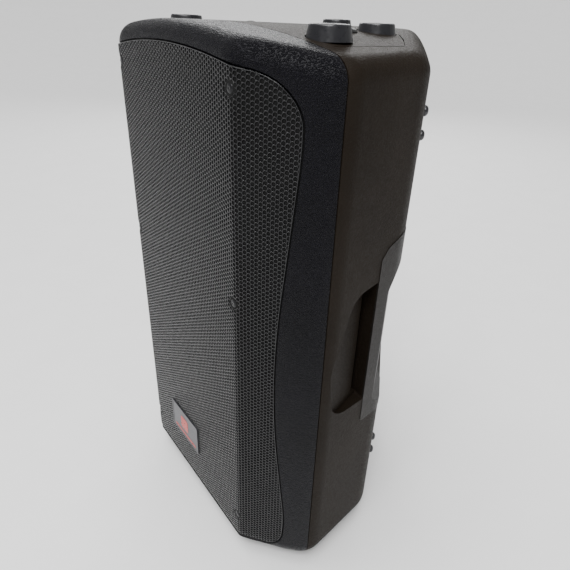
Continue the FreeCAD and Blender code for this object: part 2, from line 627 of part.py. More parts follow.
# ---- woofer -------------------------------------------------------------------------------------
# profiles are (radius, distance behind the baffle's front face)
basket = revolve([(174, -4), (WOOFER_R, -4), (WOOFER_R, 0), (176.8, 0), (110, 84), (110, 88), (60, 88),
                  (60, 85), (106, 85), (106, 82.5), (173, 0)], woofer_hub)
for x, z in ring_spots(1.0, 6):
    side = Vector(x, 0, z)
    basket = basket.cut(rod(26, 80, woofer_hub + side * 110 + BACK * 50, side))
for x, z in ring_spots(WOOFER_BOLT_R, 8, math.pi / 8):
    basket = basket.cut(rod(2.4, 30, woofer_hub + Vector(x, -10, z), BACK))
save("woofer_frame", basket)
gasket = revolve([(180, -6), (WOOFER_R - 0.5, -6), (WOOFER_R - 0.5, -4), (180, -4)], woofer_hub)
woofer_screws = []
for x, z in ring_spots(WOOFER_BOLT_R, 8, math.pi / 8):
    gasket = gasket.cut(rod(2.6, 30, woofer_hub + Vector(x, -10, z), BACK))
    woofer_screws.append(screw(woofer_hub + Vector(x, -6, z), BACK, 2.2, 20, 4.4, 2.6))
save("woofer_gasket", gasket)
save("woofer_screws", Part.makeCompound(woofer_screws))
save("woofer_magnet", revolve([(45, 96), (85, 96), (85, 120), (45, 120)], woofer_hub))
front_plate = revolve([(34, 88), (75, 88), (75, 96), (34, 96)], woofer_hub)
yoke = revolve([(10, 88), (30.4, 88), (30.4, 120), (75, 120), (75, 128), (10, 128)], woofer_hub)
save("woofer_pole_pieces", Part.makeCompound([front_plate, yoke]))
save("voice_coil", revolve([(31.6, 62), (32.8, 62), (32.8, 110), (31.6, 110)], woofer_hub))
cone = revolve([(32.8, 62), (32.8, 66), (34.2, 66), (150, -3.5), (150, -5), (34, 62)], woofer_hub)
save("woofer_cone", cone)
ball_r = 78.0
cap_ball = Part.makeSphere(ball_r, woofer_hub + BACK * (38 + ball_r))
cap_void = Part.makeSphere(ball_r - 1, woofer_hub + BACK * (38 + ball_r))
cap_trim = revolve([(0, 30), (52, 30), (52, 58), (0, 58)], woofer_hub)
cone_back = revolve([(0, -20), (150, -20), (150, -5), (34, 62), (0, 62)], woofer_hub)
save("woofer_dust_cap", cap_ball.cut(cap_void).common(cap_trim).common(cone_back))

# half roll between the cone and the basket
ROLL_R, ROLL_IN_R, ROLL_HUB_R, ROLL_BASE = 11.0, 9.8, 162.0, -4.0
hub = woofer_hub + RIGHT * ROLL_HUB_R + BACK * ROLL_BASE
outer_arc = Part.Arc(hub - RIGHT * ROLL_R, hub - BACK * (ROLL_R - 2), hub + RIGHT * ROLL_R).toShape()
inner_arc = Part.Arc(hub - RIGHT * ROLL_IN_R, hub - BACK * (ROLL_IN_R - 2), hub + RIGHT * ROLL_IN_R).toShape()
lip = [hub + RIGHT * ROLL_R, hub + RIGHT * 17 - BACK * 1.2, hub + RIGHT * 17, hub + RIGHT * ROLL_IN_R]
edges = [outer_arc, inner_arc, Part.makeLine(hub - RIGHT * ROLL_R, hub - RIGHT * ROLL_IN_R)]
edges += [Part.makeLine(p, q) for p, q in zip(lip, lip[1:])]
surround = Part.Face(Part.Wire(Part.__sortEdges__(edges))).revolve(woofer_hub, BACK, 360)
save("woofer_surround", surround)

# corrugated spider: a wave of fixed pitch whose rim is glued to the basket's back
SPIDER_R = (34.4, 95.0)
SPIDER_T = 1.2
waves = []
for step in range(49):
    r = SPIDER_R[0] + (SPIDER_R[1] - SPIDER_R[0]) * step / 48.0
    waves.append((r, 75.5 + 1.8 * math.sin(2 * math.pi * 4.5 * step / 48.0)))
spider = waves + [(98.0, 84.0), (104.0, 84.0), (104.0, 85.0), (97.0, 85.0)]
spider += [(r, h + SPIDER_T) for r, h in waves[::-1]]
save("woofer_spider", revolve(spider, woofer_hub))


# ---- horn and compression driver ----------------------------------------------------------------
def horn_shape(extra_wall):
    sections = []
    for depth, half_x, half_z in HORN_SECTIONS:
        radius = min(half_x, half_z) * 0.96 if depth == HORN_SECTIONS[-1][0] else 10 + extra_wall
        sections.append(rounded_rect(0, HORN_Z, half_x + extra_wall, half_z + extra_wall, radius, depth))
    return Part.makeLoft(sections, True, True)


horn_face = plate(0, HORN_Z, HORN_FLANGE_X, HORN_FLANGE_Z, 10, BAFFLE_DEPTH - 4, 4)
horn_back = plate(0, HORN_Z, 40, 40, 20, HORN_SECTIONS[-1][0] - 4, 4)
horn = fused([horn_face, horn_shape(HORN_WALL), horn_back]).cut(horn_shape(0))
horn_screws = []
for x, z in HORN_BOLTS:
    horn = horn.cut(rod(2.2, 20, at(x, BAFFLE_DEPTH - 10, HORN_Z + z), BACK))
    horn_screws.append(screw(at(x, BAFFLE_DEPTH - 4, HORN_Z + z), BACK, 2.0, 16, 4.2, 2.2))
save("horn", horn)
save("horn_screws", Part.makeCompound(horn_screws))
driver_hub = at(0, HORN_SECTIONS[-1][0], HORN_Z)
save("driver_body", revolve([(17, 0), (50, 0), (50, 12), (56, 14), (56, 40), (50, 46), (0, 46), (0, 24),
                             (31, 24), (31, 9), (17, 9)], driver_hub))
dome_hub = driver_hub + BACK * (12.5 + 60)
dome = Part.makeSphere(60, dome_hub).cut(Part.makeSphere(59.6, dome_hub))
save("driver_diaphragm", dome.common(revolve([(0, 5), (28, 5), (28, 30), (0, 30)], driver_hub)))


# ---- ports and wadding --------------------------------------------------------------------------
ports = []
for x in (-PORT_X, PORT_X):
    wall_r = PORT_R + PORT_WALL
    profile = [(PORT_R, 6), (PORT_R + 2.5, -2.5), (PORT_R + 4.5, -2.5), (PORT_R + 4.5, 0), (wall_r, 0),
               (wall_r, PORT_LONG), (PORT_R, PORT_LONG)]
    ports.append(revolve(profile, at(x, BAFFLE_DEPTH, PORT_Z)))
save("port_tubes", Part.makeCompound(ports))

pads = []
for (x0, depth0), (x1, depth1), z0, z1 in PADS:
    start, finish = Vector(x0, FRONT + depth0, z0), Vector(x1, FRONT + depth1, z0)
    across = UP.cross(finish - start).normalize()
    corners = [start + across * PAD_T, start - across * 30, finish - across * 30, finish + across * PAD_T]
    pads.append(prism(corners, (0, 0, 0, 0), UP * (z1 - z0)).common(cavity))
save("wadding", Part.makeCompound(pads))


# ---- rear panel ---------------------------------------------------------------------------------
panel = plate(PANEL_X, PANEL_Z, PANEL_W / 2, PANEL_H / 2, 1, PANEL_FACE - PANEL_T, PANEL_T)
studs = [rod(4, PANEL_FACE - PANEL_T - BOARD_DEPTH - BOARD_T, at(x, BOARD_DEPTH + BOARD_T, z), BACK)
         for x, z in PILLARS]
panel = fused([panel] + studs)
for _, x, z in KNOBS:
    panel = panel.cut(rod(SHAFT_R + 0.35, 10, at(x, PANEL_FACE - 5, z), BACK))
for x, z in JACKS + (LINK,):
    panel = panel.cut(rod(12.0, 10, at(x, PANEL_FACE - 5, z), BACK))
for x, z in LAMPS:
    panel = panel.cut(rod(2.5, 10, at(x, PANEL_FACE - 5, z), BACK))
panel = panel.cut(plate(SWITCH[0], SWITCH[1], 6, 2.6, 0.5, PANEL_FACE - 5, 10))
panel = panel.cut(plate(ROCKER[0], ROCKER[1], 7.7, 11.4, 0.5, PANEL_FACE - 5, 10))
panel = panel.cut(plate(INLET[0], INLET[1], 13.6, 10.2, 1, PANEL_FACE - 5, 10))
panel_screws = []
for x, z in PANEL_SCREWS:
    panel = panel.cut(rod(1.85, 10, at(x, PANEL_FACE - 5, z), BACK))
    panel_screws.append(screw(at(x, PANEL_FACE, z), Vector(0, -1, 0), 1.5, 8, 3.0, 1.7))
save("rear_panel", panel)
save("panel_screws", Part.makeCompound(panel_screws))

sink = [plate(PANEL_X, SINK_Z, 50, 17, 0.5, PANEL_FACE, 2)]
for x in range(-48, 49, 8):
    sink.append(plate(PANEL_X + x, SINK_Z, 1, 17, 0.3, PANEL_FACE + 2, 9))
save("heat_sink", fused(sink))

board = [block(PANEL_X - 50, PANEL_X + 50, BOARD_DEPTH, BOARD_DEPTH + BOARD_T, 295, 545)]
for _, x, z in KNOBS:
    board.append(block(x - 8, x + 8, BOARD_DEPTH + BOARD_T, 350, z - 8, z + 8))
for x, z in ((-75.0, 330.0), (-50.0, 330.0), (-62.0, 356.0)):
    board.append(rod(10, 32, at(x, BOARD_DEPTH - 32, z), BACK))
board.append(block(-30, 0, BOARD_DEPTH - 28, BOARD_DEPTH, 320, 362))
board.append(block(-70, -20, BOARD_DEPTH - 12, BOARD_DEPTH, 400, 450))
board = fused(board)
for _, x, z in KNOBS:
    board = board.cut(rod(SHAFT_R + 0.05, 30, at(x, 338, z), BACK))
save("amplifier_board", board)

for name, x, z in KNOBS:
    face = PANEL_FACE + 0.5
    profile = [(0, 0), (KNOB_R, 0), (KNOB_R, 2), (KNOB_R - 1.2, KNOB_H - 1), (KNOB_R - 2.2, KNOB_H),
               (0, KNOB_H)]
    cap = revolve(profile, at(x, face, z))
    for gx, gz in ring_spots(KNOB_R + 0.2, 16):
        cap = cap.cut(rod(0.8, KNOB_H - 2, at(x + gx, face + 2, z + gz), BACK))
    cap = cap.cut(block(x - 0.6, x + 0.6, face + KNOB_H - 0.8, face + KNOB_H + 1, z + 1, z + KNOB_R))
    save(name, fused([cap, rod(SHAFT_R, face - 340, at(x, 340, z), BACK)]))


def round_socket(x, z):
    flange = plate(x, z, 13, 14.5, 3, PANEL_FACE, 1.6)
    shell = rod(11.8, 18, at(x, PANEL_FACE - 18, z), BACK)
    return fused([flange, shell]).cut(rod(8.6, 17, at(x, PANEL_FACE - 14, z), BACK))


jacks = []
for x, z in JACKS:
    core = tube(4.8, 3.2, 12, at(x, PANEL_FACE - 14, z), BACK)
    jacks.append(fused([round_socket(x, z), core]))
save("input_jacks", Part.makeCompound(jacks))
save("link_socket", round_socket(*LINK))
pins = [rod(1.2, 11, at(LINK[0] + x, PANEL_FACE - 14, LINK[1] + z), BACK)
        for x, z in ring_spots(4.2, 3, math.pi / 2)]
save("link_pins", Part.makeCompound(pins))

toggle = plate(SWITCH[0], SWITCH[1], 2, 2, 0.4, PANEL_FACE - 6, 8.5)
toggle_foot = plate(SWITCH[0], SWITCH[1], 4, 3.5, 0.4, PANEL_FACE - 7, 2.5)
save("level_switch", fused([toggle, toggle_foot]))
lamps = [revolve([(0, 0), (2.4, 0), (2.4, 4), (2.0, 5.2), (1.1, 6.0), (0, 6.3)], at(x, PANEL_FACE - 4, z))
         for x, z in LAMPS]
save("status_lamps", Part.makeCompound(lamps))

frame = plate(ROCKER[0], ROCKER[1], 9.5, 13.2, 1.5, PANEL_FACE, 1.6)
sleeve = plate(ROCKER[0], ROCKER[1], 7.6, 11.3, 0.5, PANEL_FACE - 14, 14)
frame = fused([frame, sleeve]).cut(plate(ROCKER[0], ROCKER[1], 6.6, 10.4, 0.3, PANEL_FACE - 12.5, 20))
frame = frame.cut(rod(1.05, 16, at(ROCKER[0] - 8, PANEL_FACE - 4, ROCKER[1]), RIGHT))
save("power_switch_frame", frame)
rocker_side = [at(ROCKER[0] - 6.2, PANEL_FACE + depth, ROCKER[1] + z)
               for depth, z in ((-7, -5), (-7, 5), (0, 9), (3.2, 9.2), (1.6, 0), (3.2, -9.2), (0, -9))]
rocker = prism(rocker_side, (1, 1, 1, 0.5, 20, 0.5, 1), RIGHT * 12.4)
rocker = fused([rocker, rod(1.0, 14.6, at(ROCKER[0] - 7.3, PANEL_FACE - 4, ROCKER[1]), RIGHT)])
save("power_rocker", rocker)

flange = plate(INLET[0], INLET[1], 16, 13, 3, PANEL_FACE, 2)
cup = plate(INLET[0], INLET[1], 13.4, 10.0, 1, PANEL_FACE - 20, 20)
save("mains_inlet", fused([flange, cup]).cut(plate(INLET[0], INLET[1], 12.0, 8.2, 1, PANEL_FACE - 16, 20)))
blades = [plate(INLET[0] + x, INLET[1] + z, 1, 2, 0.3, PANEL_FACE - 16, 12)
          for x, z in ((-7.0, -1.5), (0.0, 2.0), (7.0, -1.5))]
save("inlet_blades", Part.makeCompound(blades))
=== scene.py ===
import json
import math

import bpy
import numpy as np
from mathutils import Matrix, Vector

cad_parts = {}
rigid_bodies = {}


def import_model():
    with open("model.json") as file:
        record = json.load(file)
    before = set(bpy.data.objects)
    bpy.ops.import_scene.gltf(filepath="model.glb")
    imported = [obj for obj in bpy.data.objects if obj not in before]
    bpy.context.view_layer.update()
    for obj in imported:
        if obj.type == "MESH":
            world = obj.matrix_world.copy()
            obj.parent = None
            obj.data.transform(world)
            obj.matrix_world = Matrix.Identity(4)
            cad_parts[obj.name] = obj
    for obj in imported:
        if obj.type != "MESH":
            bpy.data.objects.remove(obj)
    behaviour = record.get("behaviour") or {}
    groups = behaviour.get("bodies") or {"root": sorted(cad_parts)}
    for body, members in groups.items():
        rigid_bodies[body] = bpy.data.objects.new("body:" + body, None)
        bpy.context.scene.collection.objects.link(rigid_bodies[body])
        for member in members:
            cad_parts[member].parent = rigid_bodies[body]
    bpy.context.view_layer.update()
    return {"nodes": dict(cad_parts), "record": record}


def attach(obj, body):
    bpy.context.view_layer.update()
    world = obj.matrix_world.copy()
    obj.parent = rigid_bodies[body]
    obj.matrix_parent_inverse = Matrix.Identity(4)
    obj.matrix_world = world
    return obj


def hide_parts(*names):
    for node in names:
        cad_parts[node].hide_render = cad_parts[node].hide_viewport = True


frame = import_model()

# Sizes are in millimetres here and are turned into metres when a mesh is made. The row frame is the
# CAD's: x to the right, y to the back, z up. "Depth" is the distance behind the cabinet's front face.
DEPTH = 372.0
BADGE_PROUD = 1.5
FRONT = (BADGE_PROUD - DEPTH) / 2.0
MM = 0.001


# ---- meshes -------------------------------------------------------------------------------------
def piece(name, points, faces, replaced=(), smooth=False, body="cabinet"):
    """A mesh object from points in millimetres, tied to its body; the nodes it replaces are hidden."""
    mesh = bpy.data.meshes.new(name)
    mesh.from_pydata([(x * MM, y * MM, z * MM) for x, y, z in points], [], faces)
    mesh.validate()
    mesh.update()
    if smooth:
        mesh.polygons.foreach_set("use_smooth", [True] * len(mesh.polygons))
    made = bpy.data.objects.new(name, mesh)
    bpy.context.scene.collection.objects.link(made)
    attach(made, body)
    if replaced:
        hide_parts(*replaced)
    return made


def rounded_outline(corners, step=2.0):
    """Points along a closed polygon (x, z, rounding) with arcs at its corners."""
    made = []
    count = len(corners)
    for i in range(count):
        here = np.array(corners[i][:2])
        radius = abs(corners[i][2])
        back = np.array(corners[i - 1][:2]) - here
        ahead = np.array(corners[(i + 1) % count][:2]) - here
        back /= np.linalg.norm(back)
        ahead /= np.linalg.norm(ahead)
        half = math.acos(float(np.clip(back @ ahead, -1, 1))) / 2
        bisector = (back + ahead) / np.linalg.norm(back + ahead)
        hub = here + bisector * (radius / math.sin(half))
        reach = radius / math.tan(half)
        first, last = here + back * reach - hub, here + ahead * reach - hub
        start = math.atan2(first[1], first[0])
        sweep = math.atan2(last[1], last[0]) - start
        sweep = (sweep + math.pi) % (2 * math.pi) - math.pi
        pieces = max(2, int(abs(sweep) * radius / step))
        for k in range(pieces + 1):
            angle = start + sweep * k / pieces
            made.append(hub + radius * np.array((math.cos(angle), math.sin(angle))))
    dense = []
    for a, b in zip(made, made[1:] + made[:1]):
        length = np.linalg.norm(b - a)
        if length < 1e-6:
            continue
        parts = max(1, int(length / (2 * step)))
        for k in range(parts):
            dense.append(a + (b - a) * k / parts)
    return np.array(dense)


# ---- the perforated grille ----------------------------------------------------------------------
BEND_X = 140.5
WING_ANGLE = math.atan2(42.5, 196.0 - BEND_X)
GRILLE_FACE = 0.5
GRILLE_T = 1.2
BEND_OUT_R = 16.2
HOLE_R = 2.08
RIM_ROUND = 0.24
EDGE_WIDE = 0.9
PITCH = 5.0
COLUMN = PITCH * math.sqrt(3) / 2
GRILLE_HALF = (
    (191.0, 31.0, 36.0), (194.5, 100.0, 400.0), (173.5, 340.0, -1500.0), (195.0, 620.0, 550.0),
    (195.0, 683.7, 50.0),
)
GRILLE_PEAK = (0.0, 718.0, 849.0)
SCREW_SPOTS = [(x, z) for z in (674.0, 444.0, 79.0) for x in (-134.7, 134.7)]
DIMPLE_R = 11.0
DIMPLE_DEEP = 2.7
DIMPLE_FLAT = 0.25          # flat part of a dimple, as a share of its radius
TOE_Z = 47.0
TOE_R = 34.0
FIRST_ROW_Z = 20.0
LAST_ROW_Z = 712.0
ROWS = 145
SCREW_LAND_R = 4.6          # cells nearer than this to a screw stay solid
NEAR_EDGE = 7.0

flat_to = BEND_X - GRILLE_FACE * math.tan(WING_ANGLE / 2) - BEND_OUT_R * math.tan(WING_ANGLE / 2)
arc_long = BEND_OUT_R * WING_ANGLE
wing_x = flat_to + BEND_OUT_R * math.sin(WING_ANGLE)


def unroll(x):
    """Distance along the bent sheet from its middle, for a place at x."""
    far = np.abs(x)
    in_arc = np.arcsin(np.clip((far - flat_to) / BEND_OUT_R, 0, math.sin(WING_ANGLE))) * BEND_OUT_R
    on_wing = np.maximum(far - wing_x, 0) / math.cos(WING_ANGLE)
    return np.sign(x) * np.where(far <= flat_to, far, flat_to + in_arc + on_wing)


def sheet(s, z, height):
    """Row-frame points at a distance s along the bent sheet, raised by a height off its face."""
    far = np.abs(s)
    angle = np.clip((far - flat_to) / BEND_OUT_R, 0, WING_ANGLE)
    on_wing = np.maximum(far - flat_to - arc_long, 0)
    x = np.minimum(far, flat_to) + BEND_OUT_R * np.sin(angle) + on_wing * math.cos(WING_ANGLE)
    depth = GRILLE_FACE + BEND_OUT_R * (1 - np.cos(angle)) + on_wing * math.sin(WING_ANGLE)
    for sx, sz in SCREW_SPOTS:
        r = np.hypot(np.sign(s) * x - sx, z - sz)
        swell = np.pi * np.clip(r / DIMPLE_R - DIMPLE_FLAT, 0, 1 - DIMPLE_FLAT) / (1 - DIMPLE_FLAT)
        height = height - DIMPLE_DEEP * (0.5 + 0.5 * np.cos(swell))
    toe = np.clip(TOE_Z - z, 0, TOE_R * 0.95)
    height = height - (TOE_R - np.sqrt(TOE_R ** 2 - toe ** 2))
    x = x + height * np.sin(angle)
    depth = depth - height * np.cos(angle)
    return np.stack([np.sign(s) * x, FRONT + depth, z], axis=-1)


left_half = [(-x, z, r) for x, z, r in GRILLE_HALF[::-1]]
outline = rounded_outline(list(GRILLE_HALF) + [GRILLE_PEAK] + left_half)
edge_line = np.stack([unroll(outline[:, 0]), outline[:, 1]], axis=1)
edge_next = np.roll(edge_line, -1, axis=0)
edge_dir = edge_next - edge_line
edge_dir /= np.linalg.norm(edge_dir, axis=1)[:, None]
edge_in = np.stack([-edge_dir[:, 1], edge_dir[:, 0]], axis=1)


def inside_by(points):
    """How far each point lies inside the outline; negative outside."""
    made = np.empty(len(points))
    for i in range(0, len(points), 2000):
        part = points[i:i + 2000]
        rel = part[:, None, :] - edge_line[None]
        span = edge_next - edge_line
        t = np.clip((rel * span[None]).sum(-1) / (span * span).sum(-1)[None], 0, 1)
        gap = np.linalg.norm(rel - t[..., None] * span[None], axis=-1)
        near = gap.argmin(1)
        side = (rel[np.arange(len(part)), near] * edge_in[near]).sum(-1)
        made[i:i + 2000] = gap.min(1) * np.sign(side)
    return made


def clip(polygon, origin, inward):
    """A polygon of (s, z, height) points cut back to the inner side of a line in the sheet."""
    kept = []
    for a, b in zip(polygon, polygon[1:] + polygon[:1]):
        da, db = float((a[:2] - origin) @ inward), float((b[:2] - origin) @ inward)
        if da >= 0:
            kept.append(a)
        if (da >= 0) != (db >= 0):
            kept.append(a + (b - a) * (da / (da - db)))
    return kept


def round_points(radius, count, height):
    turns = [2 * math.pi * k / count for k in range(count)]
    return [(radius * math.cos(a), radius * math.sin(a), height) for a in turns]


def solid_cell():
    return [round_points(PITCH / math.sqrt(3), 6, 0.0)]


def punched_cell():
    """Polygons of one hexagonal cell with a round hole, a softened rim and the hole's wall."""
    hexagon = round_points(PITCH / math.sqrt(3), 6, 0.0)
    rings = [round_points(HOLE_R + RIM_ROUND, 12, 0.0), round_points(HOLE_R, 12, -RIM_ROUND),
             round_points(HOLE_R, 12, -GRILLE_T)]
    made = []
    for k in range(6):
        a, b, c = rings[0][2 * k], rings[0][2 * k + 1], rings[0][(2 * k + 2) % 12]
        after = hexagon[(k + 1) % 6]
        made += [[hexagon[k], after, b], [hexagon[k], b, a], [after, c, b]]
    for outer, inner in zip(rings, rings[1:]):
        for k in range(12):
            n = (k + 1) % 12
            made.append([outer[n], inner[n], inner[k], outer[k]])
    return made


half_wide = float(edge_line[:, 0].max())
columns = int(half_wide / COLUMN) + 2
centres = []
for column in range(-columns, columns + 1):
    lift = PITCH / 2 if column % 2 else 0.0
    for row in range(ROWS):
        centres.append((column * COLUMN, FIRST_ROW_Z + row * PITCH + lift))
centres = np.array(centres)
centres = centres[centres[:, 1] < LAST_ROW_Z]
depths_in = inside_by(centres)
SCREW_S = [(math.copysign(float(unroll(abs(x))), x), z) for x, z in SCREW_SPOTS]
SOLID, PUNCHED = solid_cell(), punched_cell()
cut_line = edge_line + edge_in * (EDGE_WIDE * 0.6)

wing_s = flat_to + 1.0
bands = (-1e9, -wing_s, -wing_s / 3, wing_s / 3, wing_s, 1e9)
for number, (low_s, high_s) in enumerate(zip(bands, bands[1:])):
    flat, faces = [], []
    index = {}

    def corner(point):
        key = (round(point[0], 3), round(point[1], 3), round(point[2], 3))
        if key not in index:
            index[key] = len(flat)
            flat.append(point)
        return index[key]

    chosen = (centres[:, 0] >= low_s) & (centres[:, 0] < high_s) & (depths_in > -PITCH * 0.6)
    for (s, z), depth_in in zip(centres[chosen], depths_in[chosen]):
        by_screw = any(math.hypot(s - screw_s, z - screw_z) < SCREW_LAND_R for screw_s, screw_z in SCREW_S)
        cell = SOLID if by_screw else PUNCHED
        polygons = [[(s + x, z + y, h) for x, y, h in polygon] for polygon in cell]
        if depth_in < PITCH * 0.6 + EDGE_WIDE:
            close = np.linalg.norm(edge_line - np.array((s, z)), axis=1) < NEAR_EDGE
            trimmed = []
            for polygon in polygons:
                polygon = [np.array(point) for point in polygon]
                for origin, inward in zip(cut_line[close], edge_in[close]):
                    polygon = clip(polygon, origin, inward)
                    if len(polygon) < 3:
                        break
                if len(polygon) >= 3:
                    trimmed.append(polygon)
            polygons = trimmed
        for polygon in polygons:
            face = [corner(tuple(float(v) for v in point)) for point in polygon]
            if len(set(face)) == len(face):
                faces.append(face)
    flat = np.array(flat)
    points = sheet(flat[:, 0], flat[:, 1], flat[:, 2])
    piece("grille_sheet_%d" % (number + 1), points.tolist(), faces, ("grille",), smooth=True)

# rolled edge of the sheet
profile = (
    (EDGE_WIDE, -0.1), (EDGE_WIDE - 0.1, 0.12), (0.35, 0.14), (0.08, 0.0), (0.0, -0.3), (0.0, -GRILLE_T),
)
vertex_in = edge_in + np.roll(edge_in, 1, axis=0)
vertex_in /= np.linalg.norm(vertex_in, axis=1)[:, None]
points, faces = [], []
for inward, height in profile:
    places = edge_line + vertex_in * inward
    points.extend(sheet(places[:, 0], places[:, 1], np.full(len(places), height)).tolist())
count = len(edge_line)
for ring in range(len(profile) - 1):
    for k in range(count):
        a, b = ring * count + k, ring * count + (k + 1) % count
        faces.append((a, b, b + count, a + count))
piece("grille_edge", points, faces, ("grille",), smooth=True)


# ---- screws in the grille's dimples -------------------------------------------------------------
def cross_screw(hub, radius, height, turn):
    """A domed cross-head screw facing the front, centred at hub (millimetres)."""
    rings = ((1.0, 0.0), (1.0, 0.35), (0.93, 0.62), (0.74, 0.86), (0.5, 0.97), (0.42, 1.0))
    count = 32
    points, faces = [], []
    for scale, up in rings:
        for k in range(count):
            a = 2 * math.pi * k / count
            points.append((hub[0] + radius * scale * math.cos(a), hub[1] - height * up,
                           hub[2] + radius * scale * math.sin(a)))
    for ring in range(len(rings) - 1):
        for k in range(count):
            a, b = ring * count + k, ring * count + (k + 1) % count
            faces.append((a, a + count, b + count, b))
    base = len(points)
    for k in range(count):
        a = 2 * math.pi * k / count
        wide = 0.36 if math.cos(2 * (a - turn)) ** 2 > 0.8 else 0.13
        for down, shrink in ((0.0, 1.0), (0.75, 0.6)):
            points.append((hub[0] + radius * wide * shrink * math.cos(a), hub[1] - height * (1 - down),
                           hub[2] + radius * wide * shrink * math.sin(a)))
    last = (len(rings) - 1) * count
    for k in range(count):
        n = (k + 1) % count
        faces.append((last + k, base + 2 * k, base + 2 * n, last + n))
        faces.append((base + 2 * k, base + 2 * k + 1, base + 2 * n + 1, base + 2 * n))
    points.append((hub[0], hub[1] - height * 0.2, hub[2]))
    for k in range(count):
        n = (k + 1) % count
        faces.append((base + 2 * k + 1, len(points) - 1, base + 2 * n + 1))
    return points, faces


for number, (x, z) in enumerate(SCREW_SPOTS):
    points, faces = cross_screw((x, FRONT + GRILLE_FACE + DIMPLE_DEEP, z), 5.2, 2.3, 0.4 + 0.7 * number)
    piece("grille_screw_%d" % (number + 1), points, faces, ("grille_screws",), smooth=True)


# ---- materials ----------------------------------------------------------------------------------
def graph(name):
    made = bpy.data.materials.new(name)
    made.use_nodes = True
    tree = made.node_tree
    shader = next(n for n in tree.nodes if n.type == "BSDF_PRINCIPLED")
    where = tree.nodes.new("ShaderNodeTexCoord")
    return made, tree, shader, where.outputs["Object"]


def noise(tree, where, scale, detail=4.0, rough=0.55):
    node = tree.nodes.new("ShaderNodeTexNoise")
    node.inputs["Scale"].default_value = scale
    node.inputs["Detail"].default_value = detail
    node.inputs["Roughness"].default_value = rough
    tree.links.new(where, node.inputs["Vector"])
    return node.outputs["Fac"]


def cells(tree, where, scale, smooth=0.35):
    node = tree.nodes.new("ShaderNodeTexVoronoi")
    node.feature = "SMOOTH_F1"
    node.inputs["Scale"].default_value = scale
    node.inputs["Smoothness"].default_value = smooth
    tree.links.new(where, node.inputs["Vector"])
    return node.outputs["Distance"]


def ramp(tree, value, low, high, out_low, out_high):
    node = tree.nodes.new("ShaderNodeMapRange")
    node.inputs["From Min"].default_value = low
    node.inputs["From Max"].default_value = high
    node.inputs["To Min"].default_value = out_low
    node.inputs["To Max"].default_value = out_high
    tree.links.new(value, node.inputs["Value"])
    return node.outputs["Result"]


def mixed(tree, factor, first, second):
    node = tree.nodes.new("ShaderNodeMix")
    node.data_type = "RGBA"
    node.inputs["A"].default_value = (*first, 1)
    node.inputs["B"].default_value = (*second, 1)
    tree.links.new(factor, node.inputs["Factor"])
    return node.outputs["Result"]


def bump(tree, shader, height, strength, distance, under=None):
    node = tree.nodes.new("ShaderNodeBump")
    node.inputs["Strength"].default_value = strength
    node.inputs["Distance"].default_value = distance
    tree.links.new(height, node.inputs["Height"])
    if under is not None:
        tree.links.new(under, node.inputs["Normal"])
    tree.links.new(node.outputs["Normal"], shader.inputs["Normal"])
    return node.outputs["Normal"]


def finish_with(name, dark, light, rough, grain, strength, distance, metal=0.0, pebble=False, spread=0.08,
                clouds=9.0, gloss=0.3):
    """A worn, grained finish: two tones in soft clouds, uneven roughness and a fine relief."""
    made, tree, shader, where = graph(name)
    wide = noise(tree, where, clouds, 5.0, 0.6)
    tree.links.new(mixed(tree, ramp(tree, wide, 0.35, 0.68, 0, 1), dark, light), shader.inputs["Base Color"])
    fine = noise(tree, where, grain * 0.35, 3.0, 0.6)
    tree.links.new(ramp(tree, fine, 0.3, 0.7, rough - spread, rough + spread), shader.inputs["Roughness"])
    shader.inputs["Metallic"].default_value = metal
    shader.inputs["Specular IOR Level"].default_value = gloss
    relief = cells(tree, where, grain) if pebble else noise(tree, where, grain, 6.0, 0.6)
    if pebble:
        under = bump(tree, shader, noise(tree, where, grain * 3.0, 3.0, 0.6), strength * 0.35, distance * 0.5)
        bump(tree, shader, ramp(tree, relief, 0.12, 0.62, 1.0, 0.0), strength, distance, under)
    else:
        bump(tree, shader, relief, strength, distance)
    return made


def brushed(name, dark, light, rough, along=(1, 40, 40), scale=60.0, metal=1.0):
    """Metal with fine drawn lines along one axis."""
    made, tree, shader, where = graph(name)
    stretch = tree.nodes.new("ShaderNodeMapping")
    stretch.inputs["Scale"].default_value = along
    tree.links.new(where, stretch.inputs["Vector"])
    lines = noise(tree, stretch.outputs["Vector"], scale, 4.0, 0.6)
    wide = noise(tree, where, 12.0, 4.0, 0.6)
    tree.links.new(mixed(tree, ramp(tree, wide, 0.3, 0.7, 0, 1), dark, light), shader.inputs["Base Color"])
    tree.links.new(ramp(tree, lines, 0.3, 0.7, rough - 0.08, rough + 0.1), shader.inputs["Roughness"])
    shader.inputs["Metallic"].default_value = metal
    bump(tree, shader, lines, 0.15, 0.0001)
    return made


